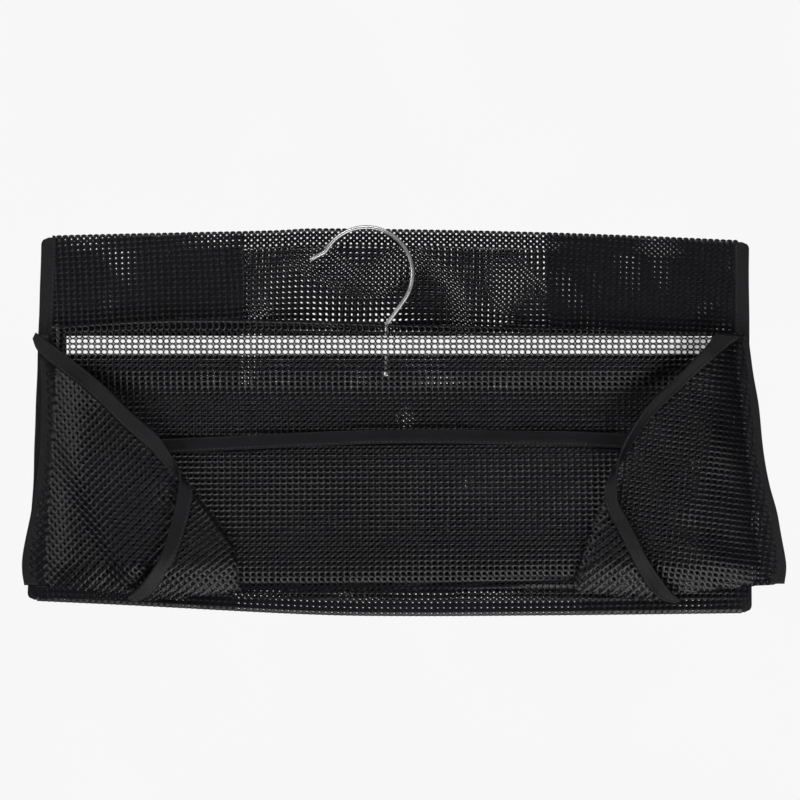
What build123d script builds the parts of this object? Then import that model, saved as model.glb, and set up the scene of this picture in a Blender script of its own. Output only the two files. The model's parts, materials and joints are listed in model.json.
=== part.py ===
from build123d import *
import math
import os

os.makedirs("parts", exist_ok=True)

# Hanging mesh shoe organizer, folded flat. Three tiers are stacked like an accordion.
# Millimetres. X runs along the stiffener bar, Y towards the hook, Z up from the flat underside.

# Fabric
mesh_thickness = 1.2
tape_thickness = 2.5
tape_width = 10.5
layer_gap = 0.1
tier_gap = 0.5
swing_gap = 0.4

# Folded tiers behind the front one
half_depth = 137.0
top_fold_y = 133.0
tier_left_top = -254.5
tier_right_top = 242.5
tier_left_bottom = -264.5
tier_right_bottom = 244.0
tier_corner_radius = 8.0
side_panel_depth = 143.0
shelf_front_y = 24.0
shelf_back_y = -119.0
shelf_end_margin = 14.0

# Front tier
hem_y = 66.5
hem_left = -245.0
hem_right = 240.0
wall_bottom_y = -134.5
front_foot_y = -115.0
half_width = 267.0
front_shelf_back_y = -118.0
front_tape_y = -9.5
front_tape_left = -176.0
front_tape_right = 157.0
front_shelf_crown = 11.5

# Stiffener bar and its sleeve
bar_left = -235.5
bar_right = 221.0
bar_low_y = 46.2
bar_height = 13.3
bar_thickness = 6.0
bar_corner_radius = 1.2
sleeve_foot_y = 20.0
sleeve_head_y = 30.0
sleeve_top_y = hem_y - 5.0
sleeve_back_y = 28.0
sleeve_left = bar_left - 1.5
sleeve_right = bar_right + 1.5

# Hook
wire_radius = 1.4
wire_clearance = 0.3
shank_x = -12.0
shank_end_y = 33.0
stop_radius = 2.7
stop_length = 3.4
loop_radius = 32.4
loop_centre_x = -26.2
hook_lean = 36.0
lean_bend_radius = 5.0
loop_end_heading = 240.0
tip_heading = 208.0
tip_bend_radius = 4.0
tip_run = 11.0
tip_chamfer = 0.3

# Side panels of the front tier, which curl in over the shelf
panel_rise = 9.5
panel_rise_run = 12.0
panel_crown = 16.5
panel_crown_run = 70.0
panel_reach = 170.0
curl_low = 17.9
curl_high = 24.5
curl_fold_run = 130.0
curl_inner_run = 45.0
edge_tape_thickness = 1.6
cut_depth = 80.0
cut_length = 220.0

# Levels
tier_height = 3 * mesh_thickness + 2 * layer_gap
middle_base = tier_height + tier_gap
front_base = middle_base + tier_height + tier_gap
wall_low = front_base + mesh_thickness
wall_high = wall_low + mesh_thickness
bar_base = wall_low + layer_gap
sleeve_low = bar_base + bar_thickness + layer_gap
shank_z = bar_base + bar_thickness / 2
seam_z = wall_high + swing_gap


def prism(corners, low, high):
    """Upright prism over a straight-sided outline."""
    return Pos(0, 0, low) * extrude(make_face(Polyline(*corners, close=True)), high - low)


def curved_prism(edges, low, high):
    """Upright prism over an outline of joined edges."""
    return Pos(0, 0, low) * extrude(make_face(edges), high - low)


def save(shape, node):
    export_step(shape, f"parts/{node}.step")


def tier_outline():
    return [
        (tier_left_top, top_fold_y),
        (tier_right_top, top_fold_y),
        (tier_right_bottom, -half_depth),
        (tier_left_bottom, -half_depth),
    ]


def seam_band(top_x, bottom_x, inward, base):
    """Square-ended band along one side seam of a rear tier."""
    corners = [
        (top_x, top_fold_y),
        (top_x + inward * tape_width, top_fold_y),
        (bottom_x + inward * tape_width, -half_depth),
        (bottom_x, -half_depth),
    ]
    return prism(corners, base, base + tape_thickness)


def seam_tape(top_x, bottom_x, inward, base):
    """Binding tape folded round one side seam of a rear tier, with rounded corners."""
    band = seam_band(top_x, bottom_x, inward, base)
    uprights = band.edges().filter_by(lambda edge: abs(edge.tangent_at(0.5).Z) > 0.9)
    outer = [edge for edge in uprights if abs(edge.center().X - top_x) < 0.1]
    outer += [edge for edge in uprights if abs(edge.center().X - bottom_x) < 0.1]
    return fillet(outer, tier_corner_radius)


def folded_side(top_x, bottom_x, inward, base):
    """Side panel of a rear tier, folded in flat over its wall."""
    near = inward * (tape_width + layer_gap)
    far = inward * side_panel_depth
    corners = [
        (top_x + near, top_fold_y),
        (top_x + far, top_fold_y),
        (bottom_x + far, -half_depth),
        (bottom_x + near, -half_depth),
    ]
    low = base + mesh_thickness + layer_gap
    return prism(corners, low, low + mesh_thickness)


def rear_tier(name, base):
    """One folded tier: wall, two side panels, shelf and the three tapes that bind them."""
    left_tape = seam_tape(tier_left_top, tier_left_bottom, 1, base)
    right_tape = seam_tape(tier_right_top, tier_right_bottom, -1, base)
    wall = prism(tier_outline(), base, base + mesh_thickness)
    wall -= seam_band(tier_left_top, tier_left_bottom, 1, base)
    wall -= seam_band(tier_right_top, tier_right_bottom, -1, base)
    shelf_low = base + 2 * (mesh_thickness + layer_gap)
    left = tier_left_top + shelf_end_margin
    right = tier_right_top - shelf_end_margin
    shelf = [
        (left, shelf_front_y - tape_width),
        (right, shelf_front_y - tape_width),
        (right, shelf_back_y),
        (left, shelf_back_y),
    ]
    shelf_tape = [
        (left, shelf_front_y),
        (right, shelf_front_y),
        (right, shelf_front_y - tape_width),
        (left, shelf_front_y - tape_width),
    ]
    save(wall, f"{name}_wall")
    save(folded_side(tier_left_top, tier_left_bottom, 1, base), f"{name}_left_side")
    save(folded_side(tier_right_top, tier_right_bottom, -1, base), f"{name}_right_side")
    save(prism(shelf, shelf_low, shelf_low + mesh_thickness), f"{name}_shelf")
    save(prism(shelf_tape, shelf_low, shelf_low + mesh_thickness), f"{name}_shelf_tape")
    save(left_tape, f"{name}_left_tape")
    save(right_tape, f"{name}_right_tape")


def seam_curve(side):
    """Outer line of the front tier's side seam: pinched in by the hem, widest near the foot."""
    pinch = 14.0 if side < 0 else 19.5
    waist = 11.0 if side < 0 else 15.5
    return [
        (side * (half_width - 8.5) if side < 0 else half_width - 26.5, hem_y - 5.0),
        (side * (half_width - pinch), 32.0),
        (side * (half_width - waist), -22.0),
        (side * half_width, -92.0),
        (side * (half_width - 2.0), front_foot_y),
    ]


def front_seam_tape(side):
    """Binding tape along one side seam of the front tier."""
    outer = seam_curve(side)
    inner = [(x - side * tape_width, y) for x, y in outer]
    edges = [
        Spline(*outer),
        Line(outer[-1], inner[-1]),
        Spline(*reversed(inner)),
        Line(inner[0], outer[0]),
    ]
    return curved_prism(edges, front_base, front_base + tape_thickness)


def front_wall(tapes):
    """Front tier's wall, open behind the sleeve that holds the bar."""
    outline = [
        (hem_left, hem_y),
        (hem_right, hem_y),
        (half_width - 14.0, front_foot_y),
        (tier_right_bottom - 1.0, wall_bottom_y),
        (tier_left_bottom + tape_width, wall_bottom_y),
        (14.0 - half_width, front_foot_y),
    ]
    window = [
        (sleeve_left, sleeve_foot_y),
        (sleeve_right, sleeve_foot_y),
        (sleeve_right, hem_y + 1.0),
        (sleeve_left, hem_y + 1.0),
    ]
    wall = prism(outline, wall_low, wall_high) - prism(window, front_base, sleeve_low)
    for tape in tapes:
        wall -= tape
    return wall


def sleeve_strip(start, end):
    """Strip of the sleeve's front layer between two points of its section, given as (y, z)."""
    over = [(y, z + mesh_thickness) for y, z in (end, start)]
    face = make_face(Polyline(start, end, *over, close=True))
    return Pos(sleeve_left, 0, 0) * extrude(Plane.YZ * face, sleeve_right - sleeve_left)


def sleeve_hem():
    """Sleeve's top fold, with the slit that the hook comes out of."""
    slit = Rot(90, 0, 0) * Cylinder(wire_radius + wire_clearance, 20.0)
    hem = sleeve_strip((sleeve_top_y, sleeve_low), (hem_y, wall_low))
    return hem - Pos(shank_x, hem_y, shank_z) * slit


def sleeve_back():
    """Back layer of the sleeve, under the bar."""
    corners = [
        (sleeve_left, hem_y),
        (sleeve_right, hem_y),
        (sleeve_right, sleeve_back_y),
        (sleeve_left, sleeve_back_y),
    ]
    return prism(corners, front_base, front_base + mesh_thickness)


def stiffener_bar():
    """Flat plastic slat with rounded long edges and a bore for the hook's shank."""
    length = bar_right - bar_left
    bar = Box(length, bar_height, bar_thickness)
    bar = fillet(bar.edges().filter_by(Axis.X), bar_corner_radius)
    bore = Rot(90, 0, 0) * Cylinder(wire_radius + wire_clearance, bar_height + 2.0)
    centre_x = (bar_left + bar_right) / 2
    bar = Pos(centre_x, bar_low_y + bar_height / 2, shank_z) * bar
    return bar - Pos(shank_x, bar_low_y + bar_height / 2, shank_z) * bore


def front_shelf():
    """Front tier's shelf, folded up against the wall and bowed out towards its foot."""
    low = wall_high + layer_gap
    front = front_tape_y - tape_width
    crown_y = front_shelf_back_y + 33.0
    under = [
        (front_shelf_back_y, low),
        (front_shelf_back_y + 4.0, low + 0.6 * front_shelf_crown),
        (crown_y, low + front_shelf_crown),
        (-52.0, low + 0.55 * front_shelf_crown),
        (front, low + 0.6),
    ]
    over = [(y, z + mesh_thickness) for y, z in under]
    edges = [
        Spline(*under),
        Line(under[-1], over[-1]),
        Spline(*reversed(over)),
        Line(over[0], under[0]),
    ]
    sheet = extrude(Plane.YZ * make_face(edges), front_tape_right - front_tape_left)
    return Pos(front_tape_left, 0, 0) * sheet


def front_shelf_tape():
    """Binding tape along the front shelf's free edge."""
    corners = [
        (front_tape_left, front_tape_y),
        (front_tape_right, front_tape_y),
        (front_tape_right, front_tape_y - tape_width),
        (front_tape_left, front_tape_y - tape_width),
    ]
    low = wall_high + layer_gap
    return prism(corners, low, low + 2.0)


def hook_path():
    """Centre line of the wire from the stop, up the shank and round to the tip."""
    lean = math.radians(hook_lean)
    loop_centre_y = half_depth - wire_radius - loop_radius
    across = loop_centre_x + loop_radius * math.cos(lean) - shank_x
    run = (across - lean_bend_radius * (1 - math.cos(lean))) / math.sin(lean)
    climb = (lean_bend_radius + loop_radius) * math.sin(lean) + run * math.cos(lean)
    shank = Line((shank_x, shank_end_y, shank_z), (shank_x, loop_centre_y - climb, shank_z))
    bend = JernArc(shank @ 1, shank % 1, lean_bend_radius, -hook_lean)
    rise = Line(bend @ 1, bend @ 1 + (bend % 1) * run)
    loop = JernArc(rise @ 1, rise % 1, loop_radius, loop_end_heading - 90 + hook_lean)
    tip_bend = JernArc(loop @ 1, loop % 1, tip_bend_radius, tip_heading - loop_end_heading)
    tip = Line(tip_bend @ 1, tip_bend @ 1 + (tip_bend % 1) * tip_run)
    return Wire([shank, bend, rise, loop, tip_bend, tip])


def hanger_hook():
    """Bent wire hook with a headed end that can't pull through the bar."""
    path = hook_path()
    wire = sweep(Plane(path @ 0, z_dir=path % 0) * Circle(wire_radius), path=path)
    tip_face = wire.faces().sort_by(Axis.X)[0]
    wire = chamfer(tip_face.edges(), tip_chamfer)
    head = Cylinder(stop_radius, stop_length)
    head = fillet(head.edges(), 0.8)
    return wire + Pos(shank_x, shank_end_y, shank_z) * Rot(90, 0, 0) * head


def panel_sheet(side, seam_top, seam_bottom, points, thickness):
    """Sheet with the given section, swept along a side seam of the front tier."""
    under = [(-side * run, seam_z + height) for run, height in points]
    over = [(x, z + thickness) for x, z in reversed(under)]
    face = make_face(Polyline(*under, *over, close=True))
    sheet = extrude(Plane.XZ * face, cut_length, both=True)
    lean = math.degrees(math.atan2(seam_top[0] - seam_bottom[0], seam_top[1] - seam_bottom[1]))
    return Pos(seam_top[0], 0, 0) * Pos(0, seam_top[1], 0) * Rot(0, 0, -lean) * sheet


def side_flap(name, side, seam_top, seam_bottom, vertex, crease_foot, curl_foot):
    """One side panel of the front tier: the part sewn to the wall, and the part curled back."""
    section = [
        (0.0, 0.0),
        (panel_rise_run, panel_rise),
        (panel_crown_run, panel_crown),
        (panel_reach, panel_crown),
    ]
    curl_section = [
        (curl_inner_run, curl_high),
        (curl_fold_run, curl_low),
        (panel_reach, curl_low),
    ]
    low = front_base
    high = front_base + cut_depth
    arm = (Vector(*vertex) - Vector(*seam_top)).normalized() * tape_width
    inward = (side * arm.Y, -side * arm.X) if side * arm.X > 0 else (-side * arm.Y, side * arm.X)
    tape_cut = [
        seam_top,
        vertex,
        (vertex[0] + inward[0], vertex[1] + inward[1]),
        (seam_top[0] + inward[0], seam_top[1] + inward[1]),
    ]
    panel = panel_sheet(side, seam_top, seam_bottom, section, mesh_thickness)
    panel = panel & prism([seam_top, vertex, crease_foot, seam_bottom], low, high)
    panel -= prism(tape_cut, low, high)
    edge_tape = panel_sheet(side, seam_top, seam_bottom, section, edge_tape_thickness)
    save(panel, f"{name}_side_panel")
    save(edge_tape & prism(tape_cut, low, high), f"{name}_edge_tape")
    curl = panel_sheet(side, seam_top, seam_bottom, curl_section, mesh_thickness)
    curl_tape = panel_sheet(side, seam_top, seam_bottom, curl_section, edge_tape_thickness)
    bow = ((vertex[0] + curl_foot[0]) / 2 - side * 9.0, (vertex[1] + curl_foot[1]) / 2)
    inner_top = (vertex[0] - side * tape_width, vertex[1])
    inner_bow = (bow[0] - side * tape_width, bow[1])
    inner_foot = (curl_foot[0] - side * 12.0, curl_foot[1] + 1.0)
    tape_edges = [
        ThreePointArc(vertex, bow, curl_foot),
        Line(curl_foot, inner_foot),
        ThreePointArc(inner_foot, inner_bow, inner_top),
        Line(inner_top, vertex),
    ]
    panel_edges = [
        ThreePointArc(inner_top, inner_bow, inner_foot),
        Line(inner_foot, crease_foot),
        Line(crease_foot, inner_top),
    ]
    save(curl & curved_prism(panel_edges, low, high), f"{name}_curled_panel")
    save(curl_tape & curved_prism(tape_edges, low, high), f"{name}_curled_tape")


rear_tier("rear", 0.0)
rear_tier("middle", middle_base)

left_seam_tape = front_seam_tape(-1)
right_seam_tape = front_seam_tape(1)
save(left_seam_tape, "front_left_seam_tape")
save(right_seam_tape, "front_right_seam_tape")
save(front_wall([left_seam_tape, right_seam_tape]), "front_wall")
save(sleeve_strip((sleeve_foot_y, wall_low), (sleeve_head_y, sleeve_low)), "sleeve_foot")
save(sleeve_strip((sleeve_head_y, sleeve_low), (sleeve_top_y, sleeve_low)), "sleeve_front")
save(sleeve_hem(), "sleeve_hem")
save(sleeve_back(), "sleeve_back")
save(stiffener_bar(), "stiffener_bar")
save(front_shelf(), "front_shelf")
save(front_shelf_tape(), "front_shelf_tape")
save(hanger_hook(), "hanger_hook")
side_flap(
    "left",
    -1,
    seam_top=(-246.0, 58.0),
    seam_bottom=(-256.0, -114.0),
    vertex=(-155.0, -38.0),
    crease_foot=(-113.0, -118.0),
    curl_foot=(-191.5, -122.5),
)
side_flap(
    "right",
    1,
    seam_top=(236.0, 60.0),
    seam_bottom=(256.0, -114.0),
    vertex=(139.0, -43.0),
    crease_foot=(118.0, -118.0),
    curl_foot=(187.0, -124.5),
)
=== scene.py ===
"""Looks of a hanging mesh shoe organizer folded flat: open knit panels, binding tapes, slat and hook."""

import json
import math

import bpy
import numpy as np
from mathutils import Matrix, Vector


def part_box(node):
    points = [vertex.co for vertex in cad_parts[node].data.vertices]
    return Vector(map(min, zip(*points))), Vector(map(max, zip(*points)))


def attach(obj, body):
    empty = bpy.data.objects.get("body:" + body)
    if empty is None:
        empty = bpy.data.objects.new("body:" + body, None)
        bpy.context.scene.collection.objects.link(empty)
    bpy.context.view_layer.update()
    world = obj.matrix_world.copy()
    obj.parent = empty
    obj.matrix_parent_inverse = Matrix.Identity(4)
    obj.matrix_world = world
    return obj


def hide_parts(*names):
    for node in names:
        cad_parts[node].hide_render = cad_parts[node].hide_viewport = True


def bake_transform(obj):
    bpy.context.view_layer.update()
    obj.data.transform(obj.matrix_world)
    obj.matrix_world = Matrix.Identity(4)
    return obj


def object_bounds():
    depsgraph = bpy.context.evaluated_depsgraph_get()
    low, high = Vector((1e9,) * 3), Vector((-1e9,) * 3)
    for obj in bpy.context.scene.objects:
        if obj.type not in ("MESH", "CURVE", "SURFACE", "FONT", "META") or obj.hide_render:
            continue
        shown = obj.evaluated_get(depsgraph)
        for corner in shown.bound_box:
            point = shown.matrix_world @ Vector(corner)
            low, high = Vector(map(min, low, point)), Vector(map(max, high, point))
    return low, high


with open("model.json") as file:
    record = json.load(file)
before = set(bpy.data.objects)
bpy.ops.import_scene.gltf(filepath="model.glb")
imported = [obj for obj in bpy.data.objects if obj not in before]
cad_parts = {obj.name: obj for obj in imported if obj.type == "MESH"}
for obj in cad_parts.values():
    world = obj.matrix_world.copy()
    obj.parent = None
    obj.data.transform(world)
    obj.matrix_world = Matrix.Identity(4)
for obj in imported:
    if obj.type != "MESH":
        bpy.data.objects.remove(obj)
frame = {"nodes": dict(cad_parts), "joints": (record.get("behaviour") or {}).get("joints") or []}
cad_low, cad_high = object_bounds()
rng = np.random.default_rng(7)

# Lengths are in millimetres up to the point where a mesh is made.
MM = 0.001

# Open knit: large oval holes on a grid of cells, with a pin hole where four cells meet
CELL = np.array((4.36, 3.8))
HOLE = np.array((1.62, 1.33))
PIN = 0.6
CLOSED_PIN = 0.5
SHELF_PIN = 0.7
RELIEF = 0.45
HOLE_SPREAD = 0.05
EDGE_REACH = 0.9  # a cell is kept when its centre lies up to this far outside the cut
SLIVER_AREA = 0.03  # smaller faces, squeezed flat at the cut's edge, are left out

# Scale of the large holes on each sheet. It is tuned until grey levels come near the photograph's, and
# isn't measured: the real knit looks to be the same all over.
HIDDEN_WALL_HOLE = 0.70
HIDDEN_SHELF_HOLE = 0.6
HIDDEN_SIDE_HOLE = 0.44
FOLD_HOLE = 0.44
WALL_HOLE = 0.80
SHELF_HOLE = 0.82
PANEL_HOLE = 0.82
MORE_OVER_BAR = (0.22, 0.36)  # added to the large holes' scale and to the small ones where the bar shows

# Binding tape
TAPE_WIDTH = 10.5
TAPE_THICKNESS = 2.1
TAPE_STEP = 1.6
STITCH_PITCH = 3.1
STITCH_LENGTH = 2.1
STITCH_RADIUS = 0.24
STITCH_PLACE = 0.85  # across the tape, from its folded edge


def box_mm(node):
    low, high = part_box(node)
    return np.array(low) / MM, np.array(high) / MM


def level(node):
    """Middle height of a flat CAD panel."""
    low, high = box_mm(node)
    return (low[2] + high[2]) / 2


# ---------------------------------------------------------------- curves


def smooth(points, step):
    """Points of a smooth curve through a few control points, about step apart."""
    points = np.array(points, float)
    ends = np.vstack([2 * points[0] - points[1], points, 2 * points[-1] - points[-2]])
    made = []
    for p0, p1, p2, p3 in zip(ends, ends[1:], ends[2:], ends[3:]):
        count = max(2, int(np.linalg.norm((p2 - p1)[:3]) / step))
        t = np.linspace(0, 1, count, endpoint=False)[:, None]
        made.append(
            0.5
            * (
                2 * p1
                + (p2 - p0) * t
                + (2 * p0 - 5 * p1 + 4 * p2 - p3) * t**2
                + (3 * p1 - p0 - 3 * p2 + p3) * t**3
            )
        )
    return np.vstack([*made, points[-1:]])


def through(pairs):
    """Smooth function y(x) through a few given pairs."""
    line = smooth(pairs, 2.0)
    return lambda x: np.interp(x, line[:, 0], line[:, 1])


def ease(t):
    t = np.clip(t, 0, 1)
    return t * t * (3 - 2 * t)


def ripple(x, y, length, seed):
    """Soft uneven waves of about one unit's height."""
    draw = np.random.default_rng(seed)
    total = np.zeros_like(np.asarray(x, float))
    for _ in range(5):
        angle, phase = draw.uniform(0, 2 * math.pi, 2)
        k = 2 * math.pi / (length * draw.uniform(0.6, 1.6))
        total += np.sin(k * (x * math.cos(angle) + y * math.sin(angle)) + phase)
    return total / 2.5


def nearest_on(outline, points):
    """Nearest point of a closed outline to each point, the distance, and whether the point is inside."""
    best = np.full(len(points), np.inf)
    near = points.copy()
    inside = np.zeros(len(points), bool)
    for p, q in zip(outline, np.roll(outline, -1, 0)):
        edge = q - p
        if edge @ edge < 1e-12:
            continue
        t = np.clip(((points - p) @ edge) / (edge @ edge), 0, 1)
        there = p + t[:, None] * edge
        gap = np.linalg.norm(points - there, axis=1)
        closer = gap < best
        best[closer], near[closer] = gap[closer], there[closer]
        if p[1] != q[1]:
            crosses = (p[1] > points[:, 1]) != (q[1] > points[:, 1])
            at = p[0] + (points[:, 1] - p[1]) * edge[0] / edge[1]
            inside ^= crosses & (points[:, 0] < at)
    return near, best, inside


def distance_to(line, points):
    """Distance from each point to an open line."""
    best = np.full(len(points), np.inf)
    for p, q in zip(line, line[1:]):
        edge = q - p
        t = np.clip(((points - p) @ edge) / max(edge @ edge, 1e-9), 0, 1)
        best = np.minimum(best, np.linalg.norm(points - p - t[:, None] * edge, axis=1))
    return best


# ---------------------------------------------------------------- meshes


def make_mesh(name, vertices, faces, uv=None, smooth_faces=True):
    """Mesh object from millimetre vertices. Faces are arrays of quads or lists of corner numbers."""
    mesh = bpy.data.meshes.new(name)
    corners = [list(map(int, face)) for face in faces]
    mesh.from_pydata((np.asarray(vertices) * MM).tolist(), [], corners)
    if uv is not None:
        layer = mesh.uv_layers.new(name="along")
        corner = np.zeros(len(mesh.loops), np.int32)
        mesh.loops.foreach_get("vertex_index", corner)
        layer.data.foreach_set("uv", (np.asarray(uv)[corner] * MM).astype(np.float32).ravel())
    mesh.polygons.foreach_set("use_smooth", [smooth_faces] * len(mesh.polygons))
    mesh.update()
    obj = bpy.data.objects.new(name, mesh)
    bpy.context.scene.collection.objects.link(obj)
    return obj


def cell_points():
    """Round a cell's centre: eight rim points of its hole, its corner for each of eight edge points, and
    the way that each edge point lies from that corner."""
    angles = np.radians(22.5 + 45 * np.arange(8))
    rim = np.column_stack([np.cos(angles), np.sin(angles)]) * HOLE / math.cos(math.pi / 8)
    corners = np.repeat([(1, 1), (-1, 1), (-1, -1), (1, -1)], 2, 0) * CELL / 2
    ways = np.array([(0, -1), (-1, 0), (1, 0), (0, -1), (0, 1), (1, 0), (-1, 0), (0, 1)])
    return rim, corners, ways


def share_at(share, points):
    """A number, or a function of (u, v), at each point."""
    return share(*points.T) if callable(share) else np.full(len(points), float(share))


def knit_cloth(name, outline, place, angle=0.0, offset=(0.0, 0.0), *, hole, pin=PIN):
    """One sheet of open knit, cut to an outline in flat (u, v) millimetres. angle turns its rows, and
    offset shifts them by a share of a cell. hole scales the large holes, and pin is half the width of
    the small ones: numbers, or functions of (u, v).
    place(flat, lift) puts flat points in space, lifted off the cloth's own surface."""
    outline = np.array(outline, float)
    turn = math.radians(angle)
    spin = np.array([[math.cos(turn), math.sin(turn)], [-math.sin(turn), math.cos(turn)]])
    local = outline @ spin.T
    first = np.floor(local.min(0) / CELL).astype(int) - 1
    last = np.ceil(local.max(0) / CELL).astype(int) + 1
    i, j = np.meshgrid(np.arange(first[0], last[0]), np.arange(first[1], last[1]), indexing="ij")
    centres = (np.column_stack([i.ravel(), j.ravel()]) + 0.5 + np.array(offset)) * CELL
    _, gap, inside = nearest_on(local, centres)
    centres = centres[inside | (gap < EDGE_REACH)]
    rim, corners, ways = cell_points()
    size = 1 + HOLE_SPREAD * rng.standard_normal((len(centres), 1, 2)).clip(-2, 2)
    size = size * share_at(hole, centres @ spin)[:, None, None]
    corners = centres[:, None] + corners
    reach = share_at(pin, corners.reshape(-1, 2) @ spin).reshape(-1, 8, 1)
    points = np.concatenate([centres[:, None] + rim * size, corners + ways * reach], 1).reshape(-1, 2)
    lift = np.tile(np.repeat([-RELIEF, 0.0], 8), len(centres))
    key = np.round(points * 1000).astype(np.int64) @ (10_000_019, 1)  # one number for each place
    _, chosen, corner = np.unique(key, return_index=True, return_inverse=True)
    points, lift = points[chosen], lift[chosen]
    near, _, inside = nearest_on(local, points)
    points = np.where(inside[:, None], points, near)
    start = np.arange(len(centres))[:, None] * 16
    k = np.arange(8)
    quads = np.stack([start + k, start + 8 + k, start + 8 + (k + 1) % 8, start + (k + 1) % 8], -1)
    quads = corner.ravel()[quads.reshape(-1, 4)]
    a, b, c, d = (points[quads[:, n]] for n in range(4))
    across, along = c - a, d - b
    area = (across[:, 0] * along[:, 1] - across[:, 1] * along[:, 0]) / 2
    quads = quads[np.abs(area) > SLIVER_AREA]
    used, quads = np.unique(quads, return_inverse=True)
    vertices = place(points[used] @ spin, lift[used])
    obj = make_mesh(name, vertices, quads.reshape(-1, 4))
    obj.data.materials.append(knit_finish)
    return obj


def on_surface(height, warp=None):
    """place() for a sheet that lies over the plan: height(x, y) is its surface."""

    def place(flat, lift):
        x, y = flat.T
        if warp is not None:
            x, y = warp(x, y)
        return np.column_stack([x, y, height(x, y) + lift])

    return place


def on_profile(profile, shift=None):
    """place() for a sheet that follows a section line in (y, z); v is the length along that line.
    shift(x, y, z) then bends the result."""
    line = np.array(profile, float)
    step = np.linalg.norm(np.diff(line, axis=0), axis=1)
    length = np.concatenate([[0.0], np.cumsum(step)])
    tangent = np.gradient(line, length, axis=0)
    tangent /= np.linalg.norm(tangent, axis=1)[:, None]

    def place(flat, lift):
        u, v = flat.T
        y, z, ty, tz = (np.interp(v, length, a) for a in (line[:, 0], line[:, 1], *tangent.T))
        y, z = y - tz * lift, z + ty * lift
        return np.column_stack([u, y, z] if shift is None else shift(u, y, z))

    return place, length[-1]


def declare_sheet(outline):
    """Takes a cut's outline as an array; nothing is worked out or kept from it."""
    outline = np.array(outline, float)


# ---------------------------------------------------------------- tapes

SECTION_ACROSS = np.array([0.0, 0.02, 0.07, 0.13, 0.19, 0.5, 0.8, 0.85, 0.9, 0.96, 1.0])
SECTION_HEIGHT = np.array([0.0, 0.62, 0.92, 1.0, 0.9, 0.94, 0.92, 0.74, 0.9, 0.8, 0.3])


def frames_along(rim, inner):
    """Centre, width vector and unit normal at each station of a tape."""
    across = inner - rim
    centre = (rim + inner) / 2
    tangent = np.gradient(centre, axis=0)
    tangent /= np.linalg.norm(tangent, axis=1)[:, None]
    across_unit = across / np.linalg.norm(across, axis=1)[:, None]
    normal = np.cross(tangent, across_unit)
    normal /= np.linalg.norm(normal, axis=1)[:, None]
    if normal[0, 2] < 0:
        normal = -normal
    return centre, across, normal


def stitch_row(rim, inner, normal, thickness):
    """Row of short threads laid on both faces of a tape, near its open edge."""
    line = rim + (inner - rim) * STITCH_PLACE
    step = np.linalg.norm(np.diff(line, axis=0), axis=1)
    length = np.concatenate([[0.0], np.cumsum(step)])
    vertices, faces = [], []
    ring = np.radians(np.arange(6) * 60)
    along = np.array([-0.5, -0.38, 0.0, 0.38, 0.5]) * STITCH_LENGTH
    fat = np.array([0.25, 0.85, 1.0, 0.85, 0.25]) * STITCH_RADIUS
    for at in np.arange(STITCH_PITCH, length[-1] - STITCH_PITCH, STITCH_PITCH):
        point = np.array([np.interp(at, length, line[:, n]) for n in range(3)])
        ahead = np.array([np.interp(at + 0.5, length, line[:, n]) for n in range(3)])
        up = np.array([np.interp(at, length, normal[:, n]) for n in range(3)])
        way = (ahead - point) / np.linalg.norm(ahead - point)
        side = np.cross(way, up)
        for face in (1, -1):
            base = len(vertices)
            middle = point + up * face * (thickness / 2 * 0.78)
            for a, r in zip(along, fat):
                for t in ring:
                    vertices.append(middle + way * a + side * r * math.cos(t) + up * r * math.sin(t))
            for n in range(len(along) - 1):
                for m in range(6):
                    p, q = base + n * 6 + m, base + n * 6 + (m + 1) % 6
                    faces.append((p, q, q + 6, p + 6))
            faces.append(tuple(base + m for m in reversed(range(6))))
            faces.append(tuple(base + (len(along) - 1) * 6 + m for m in range(6)))
    return vertices, faces


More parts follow.
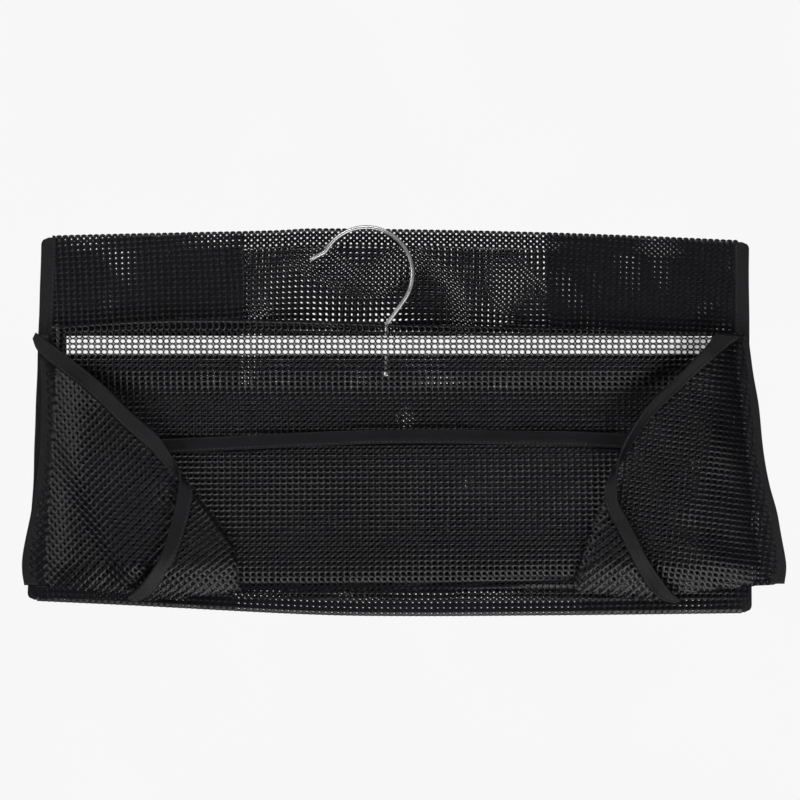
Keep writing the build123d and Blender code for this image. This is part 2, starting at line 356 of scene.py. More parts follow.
def tape(name, rim, inner, body, replaced, thickness=TAPE_THICKNESS, seed=1, round_ends=0.0):
    """Folded binding tape between its folded edge (rim) and its open edge (inner), with stitching."""
    both = smooth(np.hstack([np.array(rim, float), np.array(inner, float)]), TAPE_STEP)
    rim, inner = both[:, :3], both[:, 3:]
    centre, across, normal = frames_along(rim, inner)
    count = len(rim)
    length = np.concatenate([[0.0], np.cumsum(np.linalg.norm(np.diff(centre, axis=0), axis=1))])
    wave = ripple(length, 0 * length, 55.0, seed)
    rim = rim - across / np.linalg.norm(across, axis=1)[:, None] * (0.25 * wave)[:, None]
    rim = rim + normal * (0.12 * ripple(length, 0 * length, 34.0, seed + 1))[:, None]
    if round_ends:
        end_gap = np.minimum(length, length[-1] - length).clip(0, round_ends)
        pull = round_ends - np.sqrt(round_ends**2 - (round_ends - end_gap) ** 2)
        rim = rim + across / np.linalg.norm(across, axis=1)[:, None] * pull[:, None]
    section = np.concatenate([SECTION_ACROSS, SECTION_ACROSS[-1:0:-1]])
    height = np.concatenate([SECTION_HEIGHT, -SECTION_HEIGHT[-1:0:-1]]) * thickness / 2
    ring = len(section)
    across = inner - rim
    vertices = (
        rim[:, None] + across[:, None] * section[None, :, None] + normal[:, None] * height[None, :, None]
    ).reshape(-1, 3)
    width = np.linalg.norm(across, axis=1)
    uv = np.column_stack([np.repeat(length, ring), (width[:, None] * section).ravel()])
    n, m = np.meshgrid(np.arange(count - 1), np.arange(ring), indexing="ij")
    a, b = (n * ring + m).ravel(), (n * ring + (m + 1) % ring).ravel()
    faces = np.column_stack([a, b, b + ring, a + ring]).tolist()
    faces.append(list(reversed(range(ring))))
    faces.append([(count - 1) * ring + k for k in range(ring)])
    base = len(vertices)
    threads, thread_faces = stitch_row(rim, inner, normal, thickness)
    vertices = np.vstack([vertices, np.array(threads)])
    uv = np.vstack([uv, np.array(threads)[:, :2]])
    fabric_faces = len(faces)
    faces += [[base + v for v in f] for f in thread_faces]
    obj = make_mesh(name, vertices, faces, uv)
    obj.data.materials.append(tape_finish)
    obj.data.materials.append(thread_finish)
    index = np.zeros(len(faces), np.int32)
    index[fabric_faces:] = 1
    obj.data.polygons.foreach_set("material_index", index)
    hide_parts(*replaced)
    if body is not None:
        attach(obj, body)
    return obj


# ---------------------------------------------------------------- materials


def new_finish(name, base, roughness, metallic=0.0):
    finish = bpy.data.materials.new(name)
    finish.use_nodes = True
    shader = finish.node_tree.nodes["Principled BSDF"]
    shader.inputs["Base Color"].default_value = (*base, 1)
    shader.inputs["Roughness"].default_value = roughness
    shader.inputs["Metallic"].default_value = metallic
    return finish, finish.node_tree, shader


def add_node(tree, kind, inputs=(), **settings):
    node = tree.nodes.new(kind)
    for key, value in settings.items():
        setattr(node, key, value)
    for key, value in dict(inputs).items():
        if isinstance(value, bpy.types.NodeSocket):
            tree.links.new(value, node.inputs[key])
        else:
            node.inputs[key].default_value = value
    return node


def object_place(tree, scale=(1.0, 1.0, 1.0)):
    where = add_node(tree, "ShaderNodeTexCoord").outputs["Object"]
    return add_node(tree, "ShaderNodeMapping", {"Vector": where, "Scale": scale}).outputs["Vector"]


def noise(tree, vector, scale, detail=3.0, rough=0.5):
    inputs = {"Vector": vector, "Scale": scale, "Detail": detail, "Roughness": rough}
    return add_node(tree, "ShaderNodeTexNoise", inputs).outputs["Fac"]


def two_tones(tree, value, low, high, start=0.35, end=0.65):
    ramp = add_node(tree, "ShaderNodeValToRGB", {"Fac": value})
    ramp.color_ramp.elements[0].position, ramp.color_ramp.elements[1].position = start, end
    ramp.color_ramp.elements[0].color = (*low, 1)
    ramp.color_ramp.elements[1].color = (*high, 1)
    return ramp.outputs["Color"]


def math_node(tree, operation, a, b):
    return add_node(tree, "ShaderNodeMath", {0: a, 1: b}, operation=operation).outputs["Value"]


def weighted(tree, first, share, second, other_share):
    """Sum of two values, each times its share."""
    scaled = (math_node(tree, "MULTIPLY", v, k) for v, k in ((first, share), (second, other_share)))
    return math_node(tree, "ADD", *scaled)


def to_roughness(tree, shader, value, low, high):
    inputs = {"Value": value, "To Min": low, "To Max": high}
    spread = add_node(tree, "ShaderNodeMapRange", inputs)
    tree.links.new(spread.outputs["Result"], shader.inputs["Roughness"])


def to_bump(tree, shader, height, strength, distance):
    bump = add_node(
        tree, "ShaderNodeBump", {"Height": height, "Strength": strength, "Distance": distance}
    )
    tree.links.new(bump.outputs["Normal"], shader.inputs["Normal"])


def knit_yarn():
    """Matt black polyester yarn: fine filaments, a faint violet cast and a little dust."""
    finish, tree, shader = new_finish("knit_yarn", (0.02, 0.02, 0.024), 0.5)
    where = object_place(tree)
    filament = noise(tree, object_place(tree, (1.0, 2.2, 1.0)), 1500.0, 4.0, 0.62)
    patches = noise(tree, where, 22.0, 2.0)
    blend = weighted(tree, filament, 0.65, patches, 0.35)
    colour = two_tones(tree, blend, (0.0005, 0.0004, 0.0010), (0.0040, 0.0034, 0.0060), 0.38, 0.68)
    tree.links.new(colour, shader.inputs["Base Color"])
    to_roughness(tree, shader, filament, 0.24, 0.44)
    to_bump(tree, shader, filament, 0.6, 0.00018)
    shader.inputs["Specular IOR Level"].default_value = 0.36
    return finish


def woven_tape():
    """Satin black tape: fine ribs across it, three raised cords along it and worn lighter yarns."""
    finish, tree, shader = new_finish("woven_tape", (0.016, 0.015, 0.019), 0.5)
    place = add_node(tree, "ShaderNodeUVMap", uv_map="along").outputs["UV"]
    along = add_node(tree, "ShaderNodeMapping", {"Vector": place, "Scale": (1000.0, 1000.0, 1.0)})
    ribs = add_node(
        tree,
        "ShaderNodeTexWave",
        {"Vector": along.outputs["Vector"], "Scale": 0.55, "Distortion": 0.6, "Detail": 1.0},
        bands_direction="X",
    ).outputs["Fac"]
    lines = add_node(
        tree,
        "ShaderNodeTexWave",
        {"Vector": along.outputs["Vector"], "Scale": 0.3, "Distortion": 0.25, "Detail": 1.0},
        bands_direction="Y",
    ).outputs["Fac"]
    grain = noise(tree, along.outputs["Vector"], 2.6, 4.0, 0.6)
    wear = noise(tree, object_place(tree), 60.0, 3.0)
    weave = weighted(tree, ribs, 0.5, lines, 0.35)
    height = math_node(tree, "ADD", weave, math_node(tree, "MULTIPLY", grain, 0.5))
    tone = weighted(tree, grain, 0.5, wear, 0.5)
    colour = two_tones(tree, tone, (0.0006, 0.0005, 0.0011), (0.0034, 0.0030, 0.0048), 0.36, 0.68)
    tree.links.new(colour, shader.inputs["Base Color"])
    to_roughness(tree, shader, tone, 0.36, 0.54)
    to_bump(tree, shader, height, 0.6, 0.0002)
    shader.inputs["Specular IOR Level"].default_value = 0.26
    return finish


def sewing_thread():
    """Twisted black sewing thread."""
    finish, tree, shader = new_finish("sewing_thread", (0.03, 0.03, 0.033), 0.4)
    twist = noise(tree, object_place(tree), 4000.0, 2.0)
    colour = two_tones(tree, twist, (0.006, 0.006, 0.007), (0.022, 0.021, 0.025))
    tree.links.new(colour, shader.inputs["Base Color"])
    to_bump(tree, shader, twist, 0.4, 0.0001)
    return finish


def white_plastic():
    """Moulded white polypropylene with a fine grain and faint scuffs along its length."""
    finish, tree, shader = new_finish("white_plastic", (0.93, 0.93, 0.925), 0.42)
    grain = noise(tree, object_place(tree), 900.0, 3.0)
    scuffs = noise(tree, object_place(tree, (0.06, 1.0, 1.0)), 420.0, 4.0, 0.6)
    colour = two_tones(tree, scuffs, (0.9, 0.9, 0.895), (0.955, 0.955, 0.95))
    tree.links.new(colour, shader.inputs["Base Color"])
    to_roughness(tree, shader, scuffs, 0.36, 0.5)
    to_bump(tree, shader, grain, 0.25, 0.0001)
    return finish


def bright_wire():
    """Nickel-plated drawn wire: bright satin, with faint drawing lines and a few dull spots."""
    finish, tree, shader = new_finish("bright_wire", (0.5, 0.49, 0.48), 0.3, 0.72)
    lines = noise(tree, object_place(tree, (1.0, 0.08, 1.0)), 2600.0, 3.0)
    spots = noise(tree, object_place(tree), 240.0, 3.0)
    colour = two_tones(tree, spots, (0.42, 0.415, 0.41), (0.56, 0.555, 0.55))
    tree.links.new(colour, shader.inputs["Base Color"])
    to_roughness(tree, shader, spots, 0.26, 0.38)
    to_bump(tree, shader, lines, 0.05, 0.00003)
    return finish


def camera_only(tree, seen, felt):
    """Shader that shows seen to the camera and felt to every other ray."""
    direct = add_node(tree, "ShaderNodeLightPath").outputs["Is Camera Ray"]
    return add_node(tree, "ShaderNodeMixShader", {0: direct, 1: felt, 2: seen}).outputs["Shader"]


def studio_floor():
    """Pale ground that looks evenly lit, as in a product photograph, but throws little light back up."""
    finish, tree, shader = new_finish("studio_floor", (0.1, 0.1, 0.1), 0.9)
    shader.inputs["Specular IOR Level"].default_value = 0.0
    grain = noise(tree, object_place(tree), 6.0, 2.0)
    colour = two_tones(tree, grain, (0.928, 0.928, 0.928), (0.936, 0.936, 0.936))
    pale = add_node(tree, "ShaderNodeEmission", {"Color": colour}).outputs["Emission"]
    surface = tree.nodes["Material Output"].inputs["Surface"]
    tree.links.new(camera_only(tree, pale, shader.outputs["BSDF"]), surface)
    return finish


knit_finish = knit_yarn()
tape_finish = woven_tape()
thread_finish = sewing_thread()

# ---------------------------------------------------------------- folded tiers behind the front one

REAR_Z = level("rear_wall")
MIDDLE_Z = level("middle_wall")
FRONT_Z = level("front_wall")
tier_low, tier_high = box_mm("rear_wall")
TOP_Y, FOOT_Y = tier_high[1], tier_low[1]
FOLD_RUN = 12.0  # the fold strips' own length on each tier
SIDE_ROWS = 2.4  # degrees that the folded-in side panels' rows are turned
TAPE_RISE = 0.55  # seam tapes' middle over their wall

# The folds bow a little: their real edge against x
top_edge = through(
    [(-262, 128.0), (-240, 130.2), (-100, 133.4), (-50, 135.0), (95, 132.4), (232, 126.9), (250, 125)]
)
foot_edge = through(
    [
        (-270, -126.0), (-251, -126.9), (-191, -129.7), (-72, -135.8),
        (0, -137.2), (110, -136.6), (250, -135.0),
    ]
)
left_seam = through([(-140, -264.5), (0, -258.5), (135, -254.0)])
right_seam = through([(-140, 244.5), (0, 243.4), (135, 242.3)])


def bowed(x, y):
    """Moves the plan of a folded tier so that its two folds follow their real edges."""
    up = ease((y - 30.0) / (TOP_Y - 30.0))
    down = ease((-y - 40.0) / (-FOOT_Y - 40.0))
    return x, y + up * (top_edge(x) - TOP_Y) + down * (foot_edge(x) - FOOT_Y)


def creased(seed, strain, shift=0.0):
    """Plan of one layer of knit, strained and shifted a little away from its folds."""

    def warp(x, y):
        free = ease((TOP_Y - 3 - np.abs(y)) / 9)
        moved_x = x + (strain * ripple(x, y, 130.0, seed) + shift) * free
        moved_y = y + strain * ripple(x, y, 105.0, seed + 1) * free
        return bowed(moved_x, moved_y)

    return warp


def tier_cut(low, high, inset=4.5):
    """Outline of a tier's wall between two y values, its ends under the seam tapes."""
    ys = np.linspace(low, high, 9)
    left = [(left_seam(y) + inset, y) for y in ys]
    right = [(right_seam(y) - inset, y) for y in ys[::-1]]
    return left + right


def seam_tape(name, body, node, seam, inward, z):
    ys = np.linspace(TOP_Y - 0.8, FOOT_Y + 0.8, 7)
    rim, inner = [], []
    for y in ys:
        x = float(seam(y))
        edge_y = float(bowed(np.array([x]), np.array([y]))[1][0])
        rim.append((x, edge_y, z))
        inner.append((x + inward * TAPE_WIDTH, edge_y, z))
    return tape(name, rim, inner, body, [node], seed=int(z * 10) + (inward > 0), round_ends=5.0)


def layer(z, swell, length, seed):
    """Height of a layer of knit that lies flat, with soft waves of the given swell and length."""

    def height(x, y):
        return z + swell * ripple(x, y, length, seed)

    return height


def folded_side_panel(name, side, inward, body, seed):
    """A side panel folded flat over its tier's wall."""
    seam = left_seam if inward > 0 else right_seam
    low, high = box_mm(f"{name}_{side}_side")
    bottom, top = low[1] + 1.5, high[1] - 1.5
    inner_x, lean = (high[0], 8.0) if inward > 0 else (low[0], -8.0)
    edges = [(seam(y) + inward * 5.0, y) for y in np.linspace(bottom, top, 5)]
    cut = [*edges, (inner_x, top), (inner_x - lean, bottom)]
    n = 0 if inward > 0 else 1
    panel = knit_cloth(
        f"{name}_{side}_side_cloth",
        cut,
        on_surface(layer(level(f"{name}_{side}_side"), 0.14, 70.0, seed + 5 + n), creased(seed + 9 + n, 0.5)),
        SIDE_ROWS * inward,
        (0.3, 0.25),
        hole=HIDDEN_SIDE_HOLE,
        pin=CLOSED_PIN,
    )
    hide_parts(f"{name}_{side}_side")
    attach(panel, body)
    declare_sheet(cut)


def folded_shelf(name, body, seed):
    """A shelf folded flat into its tier, with its edge tape."""
    low, high = box_mm(f"{name}_shelf")
    z = level(f"{name}_shelf")
    back = high[1] + 6
    cut = [(low[0], low[1]), (high[0], low[1]), (high[0], back), (low[0], back)]
    place = on_surface(layer(z, 0.12, 80.0, seed + 3))
    shelf = knit_cloth(
        f"{name}_shelf_cloth", cut, place, 0.17 * seed, hole=HIDDEN_SHELF_HOLE, pin=CLOSED_PIN
    )
    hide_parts(f"{name}_shelf")
    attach(shelf, body)
    tape_low, tape_high = box_mm(f"{name}_shelf_tape")
    xs = (tape_low[0], (tape_low[0] + tape_high[0]) / 2, tape_high[0])
    edge_tape = tape(
        f"{name}_shelf_edge_tape",
        [(x, tape_high[1], z) for x in xs],
        [(x, tape_low[1], z) for x in xs],
        body,
        [f"{name}_shelf_tape"],
        thickness=1.2,
        seed=seed,
    )
    declare_sheet(cut)


def rear_tier(name, base_z, body, seed, low, high, strain, shift):
    """Wall, folded-in side panels, shelf and tapes of one tier that lies behind the front one."""
    sides = (("left", left_seam, 1), ("right", right_seam, -1))
    tapes = [
        seam_tape(f"{name}_{side}_seam_tape", body, f"{name}_{side}_tape", seam, inward, base_z + TAPE_RISE)
        for side, seam, inward in sides
    ]
    cut = tier_cut(low, high)
    place = on_surface(layer(base_z, 0.16, 90.0, seed), creased(seed, strain, shift))
    wall = knit_cloth(f"{name}_wall_cloth", cut, place, hole=HIDDEN_WALL_HOLE, pin=CLOSED_PIN)
    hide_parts(f"{name}_wall")
    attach(wall, body)
    declare_sheet(cut)
    for side, _, inward in sides:
        folded_side_panel(name, side, inward, body, seed)
    folded_shelf(name, body, seed)
    return wall


rear_wall = rear_tier("rear", REAR_Z, "rear_tier", 11, FOOT_Y + 1.0, TOP_Y - FOLD_RUN, 0.0, 0.0)
middle_wall = rear_tier(
    "middle", MIDDLE_Z, "middle_tier", 31, FOOT_Y + FOLD_RUN, TOP_Y - FOLD_RUN, 2.1, CELL[0] / 3
)


def half_turn(y, low_z, high_z, outward):
    """Section of a fold at y, from the lower layer round to the upper one."""
    radius = (high_z - low_z) / 2
    angles = np.linspace(-math.pi / 2, math.pi / 2, 13)
    return [
        (y - outward * radius + outward * radius * math.cos(a), (low_z + high_z) / 2 + radius * math.sin(a))
        for a in angles
    ]


def fold_strip(name, y, low_z, high_z, outward):
    """Strip of knit round a fold between two tiers."""
    bend = half_turn(y, low_z, high_z, outward)
    start = y - outward * FOLD_RUN
    straight = start + outward * 4
    profile = [(start, low_z), (straight, low_z), *bend, (straight, high_z), (start, high_z)]
    place, length = on_profile(profile, lambda x, y, z: (*bowed(x, y), z))
    inset = 7.5
    left, right = float(left_seam(y)) + inset, float(right_seam(y)) - inset
    cut = [(left, 0), (right, 0), (right, length), (left, length)]
    strip = knit_cloth(name, cut, place, hole=FOLD_HOLE, pin=CLOSED_PIN)
    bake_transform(strip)
    return strip, cut


top_fold, top_cut = fold_strip("top_fold_cloth", TOP_Y, REAR_Z, MIDDLE_Z, 1)
declare_sheet(top_cut)
foot_fold, foot_cut = fold_strip(
    "foot_fold_cloth", FOOT_Y, MIDDLE_Z, FRONT_Z, -1
)
declare_sheet(foot_cut)

# ---------------------------------------------------------------- front tier's wall and sleeve

bar_low, bar_high = box_mm("stiffener_bar")
sleeve_low, sleeve_high = box_mm("sleeve_front")
back_low, back_high = box_mm("sleeve_back")
HEM_Y = back_high[1]
OVER_BAR = level("sleeve_front")
UNDER_BAR = level("sleeve_back")
hem_edge = through(
    [(-250, 65.5), (-242, 66.8), (-177, 71.0), (-105, 71.4), (0, 68.2), (120, 65.2), (245, 61.5)]
)
foot_start = FOOT_Y + FOLD_RUN

# Side seams of the front tier: middle line of each tape from the hem to the foot
LEFT_SEAM = [
    (-252.3, 60), (-250.2, 30), (-249.5, 6), (-250.6, -26),
    (-255.6, -62), (-261.4, -92), (-262, -105), (-260.6, -115),
]
RIGHT_SEAM = [
    (237.4, 60), (240.2, 37), (243.7, 12), (246.6, -20),
    (251.6, -45), (257.2, -68), (262.2, -98), (261.6, -114),
]


def sleeve_section():
    """Section of the front cloth: up the wall, over the bar, round the hem and back under the bar."""
    up = [
        (foot_start, FRONT_Z),
        (-60.0, FRONT_Z),
        (sleeve_low[1] - 40.0, FRONT_Z),
        (sleeve_low[1] - 22.0, FRONT_Z + 0.2),
        (sleeve_low[1] - 10.0, FRONT_Z + 1.1),
        (sleeve_low[1] - 2.0, OVER_BAR - 2.6),
        (sleeve_low[1] + 4.0, OVER_BAR - 0.7),
        (sleeve_low[1] + 10.0, OVER_BAR),
        (sleeve_high[1] - 4.0, OVER_BAR),
    ]
    turn = half_turn(HEM_Y, UNDER_BAR, OVER_BAR - 0.6, 1)[::-1]
    back = [(back_low[1] + 10.0, UNDER_BAR), (back_low[1], UNDER_BAR)]
    return smooth([*up, *turn, *back], 1.0)


def hem_shift(x, y, z):
    """Follows the hem's real edge, and lets the sleeve fall flat past the bar's ends."""
    near = ease((y - (bar_high[1] - 1.5)) / 9.0)
    beyond = np.maximum(bar_low[0] + 1 - x, x - bar_high[0] - 1)
    flat = ease(beyond / 9.0)
    fallen = np.where(z > FRONT_Z, FRONT_Z + (z - FRONT_Z) * (1 - 0.8 * flat), z)
    fallen = fallen + 0.22 * ripple(x, y, 60.0, 51) * ease((bar_low[1] - 12 - y) / 10)
    return x, y + near * (hem_edge(x) - HEM_Y), fallen


def front_cloth():
    section = sleeve_section()
    place, length = on_profile(section, hem_shift)
    left, right = smooth(LEFT_SEAM, 8.0), smooth(RIGHT_SEAM, 8.0)
    wall_left = [(x, y - foot_start) for x, y in left if y < 30][::-1]
    wall_right = [(x, y - foot_start) for x, y in right if y < 30]
    hem_left, hem_right = -247.0, 238.0
    cut = [
        (float(left_seam(foot_start)) + 9.0, 0.0),
        *wall_left,
        (hem_left, length * 0.78),
        (hem_left, length),
        (hem_right, length),
        (hem_right, length * 0.78),
        *wall_right,
        (258.0, -115.0 - foot_start),
        (246.0, -115.4 - foot_start),
        (241.5, -118.5 - foot_start),
        (float(right_seam(foot_start)) - 4.0, 0.0),
    ]

    def beside(u, y):
        """Where the knit is drawn shut, by the side seams' lower ends."""
        return ease((np.abs(u + 7) - 236) / 8) * ease((20 - y) / 20)

    def over_bar(y):
        return ease((y - bar_low[1] + 4) / 4) * ease((bar_high[1] + 9 - y) / 4)

    def hole(u, v):
        """Wide where the bar stretches the knit."""
        y = v + foot_start
        return WALL_HOLE + MORE_OVER_BAR[0] * over_bar(y) - 0.68 * beside(u, y)

    def pin(u, v):
        y = v + foot_start
        return (PIN + MORE_OVER_BAR[1] * over_bar(y)) * (1 - 0.75 * beside(u, y))

    cloth = knit_cloth("front_wall_cloth", cut, place, 0.0, (0.5, 0.3), hole=hole, pin=pin)
    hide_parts("front_wall", "sleeve_foot", "sleeve_front", "sleeve_hem", "sleeve_back")
    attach(cloth, "front_tier")
    return cloth, cut


front_wall, front_cut = front_cloth()


def side_seam_tape(name, node, line, inward, z):
    """Tape along a side seam of the front tier; its width shows a little less where it turns."""
    widths = (8.0, 9.0, 9.8, 10.6, 10.2, 10.6, 10.8, 10.4)
    rim = [(x - inward * w / 2, y, z) for (x, y), w in zip(line, widths)]
    inner = [(x + inward * w / 2, y, z + 0.2) for (x, y), w in zip(line, widths)]
    return tape(name, rim, inner, "front_tier", [node], seed=60 + inward)


seam_z = level("front_left_seam_tape") + 0.2
left_seam_tape = side_seam_tape("left_side_seam_tape", "front_left_seam_tape", LEFT_SEAM, 1, seam_z)
right_seam_tape = side_seam_tape("right_side_seam_tape", "front_right_seam_tape", RIGHT_SEAM, -1, seam_z)
declare_sheet(front_cut)

# ---------------------------------------------------------------- front tier's shelf

shelf_low, shelf_high = box_mm("front_shelf")
SHELF_BASE = shelf_low[2]
# The shelf's swell over its base against y, and its free edge's y against x
shelf_section = through(
    [
        (-120, 0.2), (-117.6, 1.0), (-114.5, 6.8), (-104, 11.0), (-86, 12.0),
        (-66, 9.6), (-46, 5.4), (-26, 1.7), (-9, 0.9), (0, 0.9),
    ]
)
shelf_edge = through(
    [(-182, -18.5), (-114.5, -15.0), (-65, -12.9), (-14, -10.8), (43, -10.9), (110, -12.2), (165, -14.5)]
)


def shelf_height(x, y):
    crest = 1 + 0.06 * ripple(x, 0 * x, 120.0, 71)
    swell = 0.55 * ripple(x, y, 70.0, 72) * ease((-y - 25) / 25) * ease((y + 118) / 14)
    skew = 4.0 * ease((x + 20) / 160.0) * ease((-y - 50) / 40)
    return SHELF_BASE + shelf_section(y - skew) * crest + swell


def front_shelf():
    left, right = shelf_low[0], shelf_high[0]
    xs = np.linspace(left, right, 12)
    cut = [(left, shelf_low[1]), (right, shelf_low[1]), *[(x, float(shelf_edge(x))) for x in xs[::-1]]]
    place = on_surface(shelf_height)
    cloth = knit_cloth(
        "front_shelf_cloth", cut, place, 0.3, (0.25, 0.5), hole=SHELF_HOLE, pin=SHELF_PIN
    )
    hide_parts("front_shelf")
    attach(cloth, "front_tier")
    z = SHELF_BASE + 1.3
    stations = (left, -114.5, -65.0, -14.0, 43.0, 110.0, right)
    rim = [(x, float(shelf_edge(x)) + 5.1, z + 0.3) for x in stations]
    inner = [(x, float(shelf_edge(x)) - 5.1, z + 0.5) for x in stations]
    edge = tape("front_shelf_edge_tape", rim, inner, "front_tier", ["front_shelf_tape"], 1.9, 75)
    declare_sheet(cut)
    return cloth


front_shelf_cloth = front_shelf()

# ---------------------------------------------------------------- side panels, curled in over the shelf

PANEL_CROWN = 15.5  # rise of a panel over its seam
PANEL_RUN = 75.0  # distance from the seam at which it has risen
SEAM_GAP = 4.5  # flat strip beside the seam
CREASE_LIFT = 0.7
TURN_STATION = 7  # last station of a rim before its tape turns over on to the curl


def flap(side, seam_top, seam_bottom, seam_line, rim, crease, panel_foot, curl_foot, row_angles, ridges):
    """One side panel: the part that lies over the shelf, the part that curls back over it, and its tape.
    rim holds (x, y, lift) of the tape's folded edge, then of its open edge, for each station. crease is
    the line between the two parts, and ridges holds (x, y, x, y, crest, width) of each soft fold."""
    body = f"{side}_flap"
    joint = next(j for j in frame["joints"] if j["name"] == f"{side}_flap_swing")
    hinge = np.array(joint["pos_m"]) / MM
    top, bottom = np.array(seam_top, float), np.array(seam_bottom, float)
    along = (bottom - top) / np.linalg.norm(bottom - top)
    inward = np.array([-along[1], along[0]])
    if side == "right":
        inward = -inward

    def from_seam(x, y):
        return (x - top[0]) * inward[0] + (y - top[1]) * inward[1]

    def height(x, y):
        d = from_seam(x, y)
        rise = 1 - (1 - np.clip((d - SEAM_GAP) / PANEL_RUN, 0, 1)) ** 3.2
        closing = 0.5 + 0.5 * ease((y + 124.0) / 26.0)
        hollow = 0.7 * ripple(x, y, 62.0, 81 if side == "left" else 88)
        for x0, y0, x1, y1, crest, width in ridges:
            line_at = np.array([(x0, y0), (x1, y1)], float)
            off_line = distance_to(line_at, np.column_stack([np.ravel(x), np.ravel(y)]))
            hollow = hollow + crest * np.exp(-((off_line / width) ** 2)).reshape(np.shape(x))
        return hinge[2] + PANEL_CROWN * rise * closing + hollow * ease((d - SEAM_GAP) / 30)

    stations = np.array(rim, float)
    fold_edge = stations[:, :3].copy()
    open_edge = stations[:, 3:].copy()
    for edge in (fold_edge, open_edge):
        edge[:, 2] += height(edge[:, 0], edge[:, 1])
    edge_tape = tape(
        f"{side}_panel_edge_tape",
        fold_edge,
        open_edge,
        None,
        [f"{side}_edge_tape", f"{side}_curled_tape"],
        thickness=1.7,
        seed=90 if side == "left" else 95,
    )
    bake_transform(edge_tape)
    middle = (fold_edge + open_edge) / 2
    upper = middle[: TURN_STATION + 1, :2]
    lower = middle[TURN_STATION + 1 :, :2]
    line = smooth(crease, 6.0)

    seam = [tuple(p) for p in smooth(seam_line, 8.0) if 50.0 > p[1] > -113.0][::-1]
    cut = [*map(tuple, upper), *map(tuple, line), *panel_foot, *seam]

    def panel_height(x, y):
        gap = distance_to(line, np.column_stack([x, y]))
        return height(x, y) + CREASE_LIFT * ease(1 - gap / 9.0)

    def hole(x, y):
        """Seen edge-on beside the seam, where the panel starts to rise."""
        return PANEL_HOLE - 0.36 * ease((34 - from_seam(x, y)) / 24)

    panel = knit_cloth(
        f"{side}_panel_cloth", cut, on_surface(panel_height), row_angles[0], (0.0, 0.5), hole=hole
    )
    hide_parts(f"{side}_side_panel")
    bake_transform(panel)

    curl_cut = [*map(tuple, line), *curl_foot, *map(tuple, lower[::-1])]

    def curl_height(x, y):
        gap = distance_to(line, np.column_stack([x, y]))
        round_over = 3.2 * (1 - np.exp(-gap / 3.0)) + 4.2 * (1 - np.exp(-gap / 26.0))
        return height(x, y) + CREASE_LIFT + round_over

    curl = knit_cloth(
        f"{side}_curl_cloth", curl_cut, on_surface(curl_height), row_angles[1], hole=PANEL_HOLE
    )
    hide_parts(f"{side}_curled_panel")
    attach(curl, body)
    declare_sheet(cut)
    declare_sheet(curl_cut)


flap(
    "left",
    seam_top=(-246.0, 58.0),
    seam_bottom=(-256.0, -114.0),
    seam_line=LEFT_SEAM,
    rim=[
        (-257.2, 62.3, 2.0, -259.6, 57.6, 1.5),
        (-251.0, 57.6, 2.1, -257.0, 50.6, 1.5),
        (-242.6, 51.1, 2.2, -250.5, 43.0, 1.4),
        (-225.8, 38.5, 2.0, -233.2, 30.3, 1.0),
        (-210.4, 26.6, 2.0, -217.8, 18.4, 0.8),
        (-188.2, 4.9, 2.0, -196.3, -2.5, 0.8),
        (-170.1, -10.9, 2.4, -178.2, -18.3, 0.9),
        (-160.2, -25.0, 3.6, -165.0, -32.5, 1.2),
        (-156.0, -34.0, 5.4, -154.5, -41.0, 2.0),
        (-155.8, -43.0, 6.8, -146.6, -47.5, 5.0),
        (-158.0, -56.0, 7.6, -147.8, -59.5, 6.4),
        (-161.6, -71.0, 8.0, -151.4, -74.5, 6.9),
        (-168.0, -91.0, 8.2, -158.4, -95.0, 7.1),
        (-178.0, -107.6, 8.2, -169.4, -113.0, 7.1),
        (-186.5, -117.6, 8.1, -179.0, -123.0, 7.0),
        (-193.0, -123.6, 8.0, -189.6, -126.2, 7.0),
    ],
    crease=[(-156, -36), (-146, -45), (-138, -58), (-126, -72), (-116.5, -91), (-114, -111), (-113, -119)],
    panel_foot=[(-150, -121.5), (-200, -121.0), (-240, -117.0)],
    curl_foot=[(-135, -121.0), (-160, -124.0), (-178, -125.0)],
    row_angles=(-45.0, 37.0),
    ridges=[
        (-235, -22, -188, -104, 2.6, 9.0),
        (-214, 8, -166, -46, 1.6, 9.0),
        (-240, -50, -206, -108, -1.6, 8.0),
    ],
)
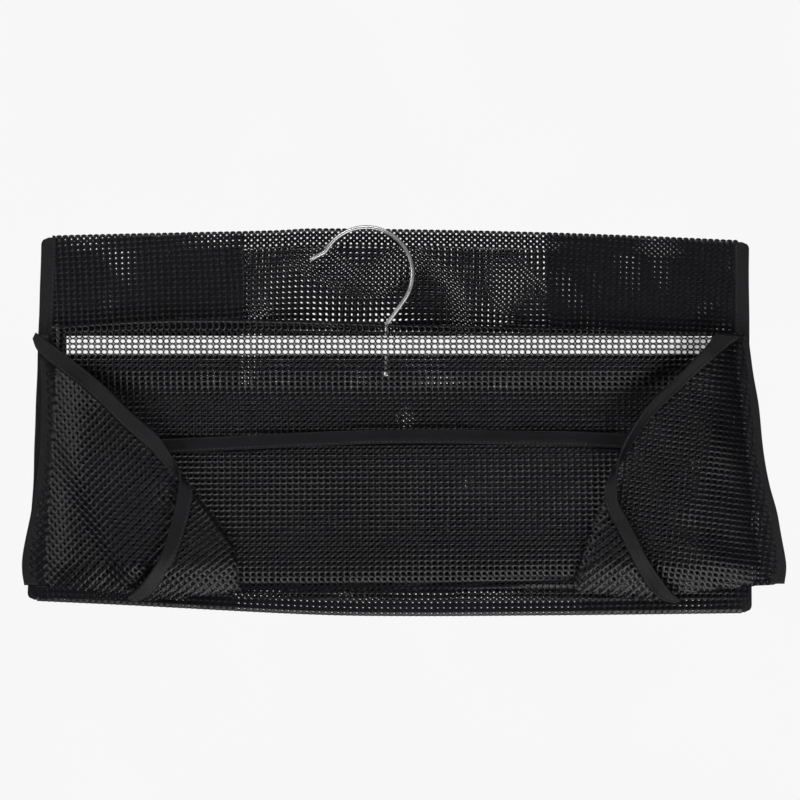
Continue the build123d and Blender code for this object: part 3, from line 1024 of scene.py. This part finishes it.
flap(
    "right",
    seam_top=(236.0, 60.0),
    seam_bottom=(256.0, -114.0),
    seam_line=RIGHT_SEAM,
    rim=[
        (217.6, 61.6, 4.0, 238.6, 60.4, 2.0),
        (213.6, 56.0, 4.1, 226.0, 51.4, 1.8),
        (207.6, 48.8, 4.2, 215.4, 42.6, 1.4),
        (198.8, 39.9, 4.6, 205.4, 34.2, 0.6),
        (187.3, 28.0, 5.0, 193.0, 22.6, 0.4),
        (171.6, 12.6, 5.4, 177.0, 7.4, 0.4),
        (157.6, -7.0, 6.0, 162.6, -10.6, 0.6),
        (150.8, -21.5, 6.6, 153.0, -26.0, 0.8),
        (148.6, -33.0, 7.2, 143.8, -37.5, 2.4),
        (148.4, -46.0, 7.6, 139.2, -48.5, 5.0),
        (149.8, -57.0, 7.8, 140.6, -59.8, 6.4),
        (155.0, -66.5, 8.0, 146.0, -70.4, 6.8),
        (161.6, -79.5, 8.2, 152.4, -83.6, 7.1),
        (170.6, -97.0, 8.3, 161.8, -102.2, 7.2),
        (179.8, -111.0, 8.2, 171.4, -116.8, 7.1),
        (187.0, -119.6, 8.1, 180.0, -124.6, 7.0),
        (193.8, -124.4, 8.0, 190.6, -127.0, 7.0),
    ],
    crease=[(147, -30), (141, -45), (133, -68), (124, -96), (118.5, -112), (117.5, -119)],
    panel_foot=[(150, -121.0), (200, -120.0), (240, -116.0)],
    curl_foot=[(140, -121.5), (160, -124.5), (176, -126.0)],
    row_angles=(-7.0, -52.0),
    ridges=[(232, 20, 196, -62, 1.8, 10.0), (192, -84, 232, -100, 1.8, 9.0)],
)

# ---------------------------------------------------------------- bar and hook

bar = frame["nodes"]["stiffener_bar"]
hook = frame["nodes"]["hanger_hook"]
for node, finish in ((bar, white_plastic()), (hook, bright_wire())):
    node.data.materials.clear()
    node.data.materials.append(finish)
bpy.context.view_layer.objects.active = hook
bpy.ops.mesh.customdata_custom_splitnormals_clear()
hook.data.polygons.foreach_set("use_smooth", [True] * len(hook.data.polygons))
weld = hook.modifiers.new("weld", "WELD")
weld.merge_threshold = 0.02 * MM

# ---------------------------------------------------------------- studio


# From here on lengths are in metres
FLOOR_HALF = 3.0
FLOOR_DROP = 0.0004


def add_light(name, place, aim, size, power):
    data = bpy.data.lights.new(name, "AREA")
    data.shape = "RECTANGLE"
    data.size, data.size_y = size
    data.energy = power
    lamp = bpy.data.objects.new(name, data)
    bpy.context.scene.collection.objects.link(lamp)
    lamp.visible_camera = False
    lamp.location = place
    direction = np.array(aim, float) - np.array(place, float)
    lamp.rotation_euler = Vector(direction).to_track_quat("-Z", "Y").to_euler()


def studio():
    """Pale floor and world, and four soft boxes round the object, all out of the camera's sight."""
    half, ground = FLOOR_HALF / MM, (cad_low.z - FLOOR_DROP) / MM
    corners = [(x, y, ground) for x, y in ((-half, -half), (half, -half), (half, half), (-half, half))]
    floor = make_mesh("studio_floor", corners, [(0, 1, 2, 3)])
    floor.data.materials.append(studio_floor())
    world = bpy.data.worlds.new("studio")
    world.use_nodes = True
    tree = world.node_tree
    felt = tree.nodes["Background"]
    felt.inputs["Color"].default_value = (0.9, 0.92, 0.95, 1)
    felt.inputs["Strength"].default_value = 0.05
    seen = add_node(tree, "ShaderNodeBackground", {"Color": (0.932, 0.932, 0.932, 1)})
    sky = camera_only(tree, seen.outputs["Background"], felt.outputs["Background"])
    tree.links.new(sky, tree.nodes["World Output"].inputs["Surface"])
    bpy.context.scene.world = world
    add_light("front_softbox", (0.35, -1.45, 1.15), (0, 0, 0), (1.8, 0.5), 24.5)
    add_light("back_softbox", (-0.3, 1.45, 1.2), (0, 0, 0), (1.6, 0.45), 23.0)
    add_light("right_softbox", (1.3, -0.8, 1.1), (0.1, 0, 0), (0.5, 0.9), 7.0)
    add_light("left_softbox", (-1.5, 0.2, 1.1), (-0.1, 0, 0), (0.4, 1.1), 8.3)
    bpy.context.scene.view_settings.view_transform = "Standard"


def camera():
    """Straight above, through a long lens, so that the picture is 560 mm wide at the cloth."""
    field, distance, sensor = 0.560, 2.6, 36.0
    data = bpy.data.cameras.new("camera")
    data.sensor_width = sensor
    data.lens = sensor * distance / field
    data.clip_end = 50.0
    made = bpy.data.objects.new("camera", data)
    bpy.context.scene.collection.objects.link(made)
    made.location = (-0.0025, 0.0147, distance + 0.012)
    bpy.context.scene.camera = made


studio()
camera()
